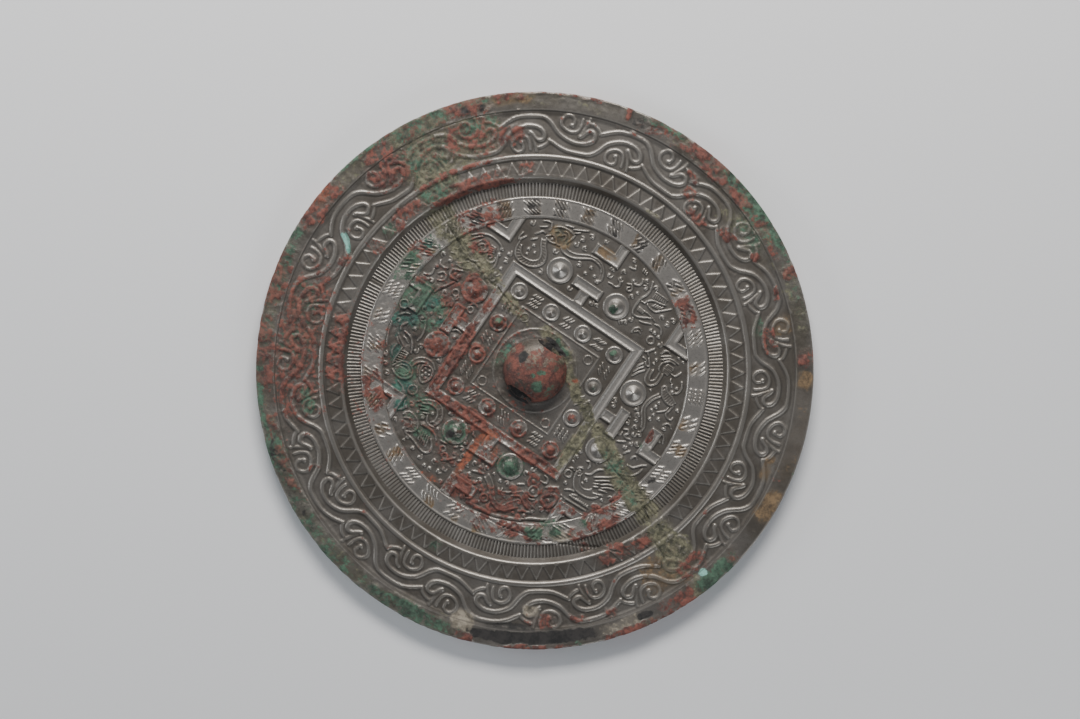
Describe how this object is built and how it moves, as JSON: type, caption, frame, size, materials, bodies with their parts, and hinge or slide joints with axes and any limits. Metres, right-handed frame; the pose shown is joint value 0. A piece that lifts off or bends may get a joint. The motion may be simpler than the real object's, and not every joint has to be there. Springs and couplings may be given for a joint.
{
  "type": "bronze mirror",
  "caption": "Round cast bronze hand mirror of ancient Chinese form, lying polished face down, with a thick patterned rim, a raised square and a pierced central knob.",
  "frame": {"origin": "centre of the polished face, at the bottom of the mirror as it lies", "axes": "+Z out of the decorated back, normal to the disc; +Y along the cord hole and one pair of sides of the raised square; +X along the other pair"},
  "size_m": [0.205, 0.205, 0.012],
  "materials": {
    "patinated_bronze": "old cast bronze, dark grey-brown metal with red, green and earthy corrosion"
  },
  "bodies": {
    "root": {"mirror": "patinated_bronze"}
  },
  "joints": []
}
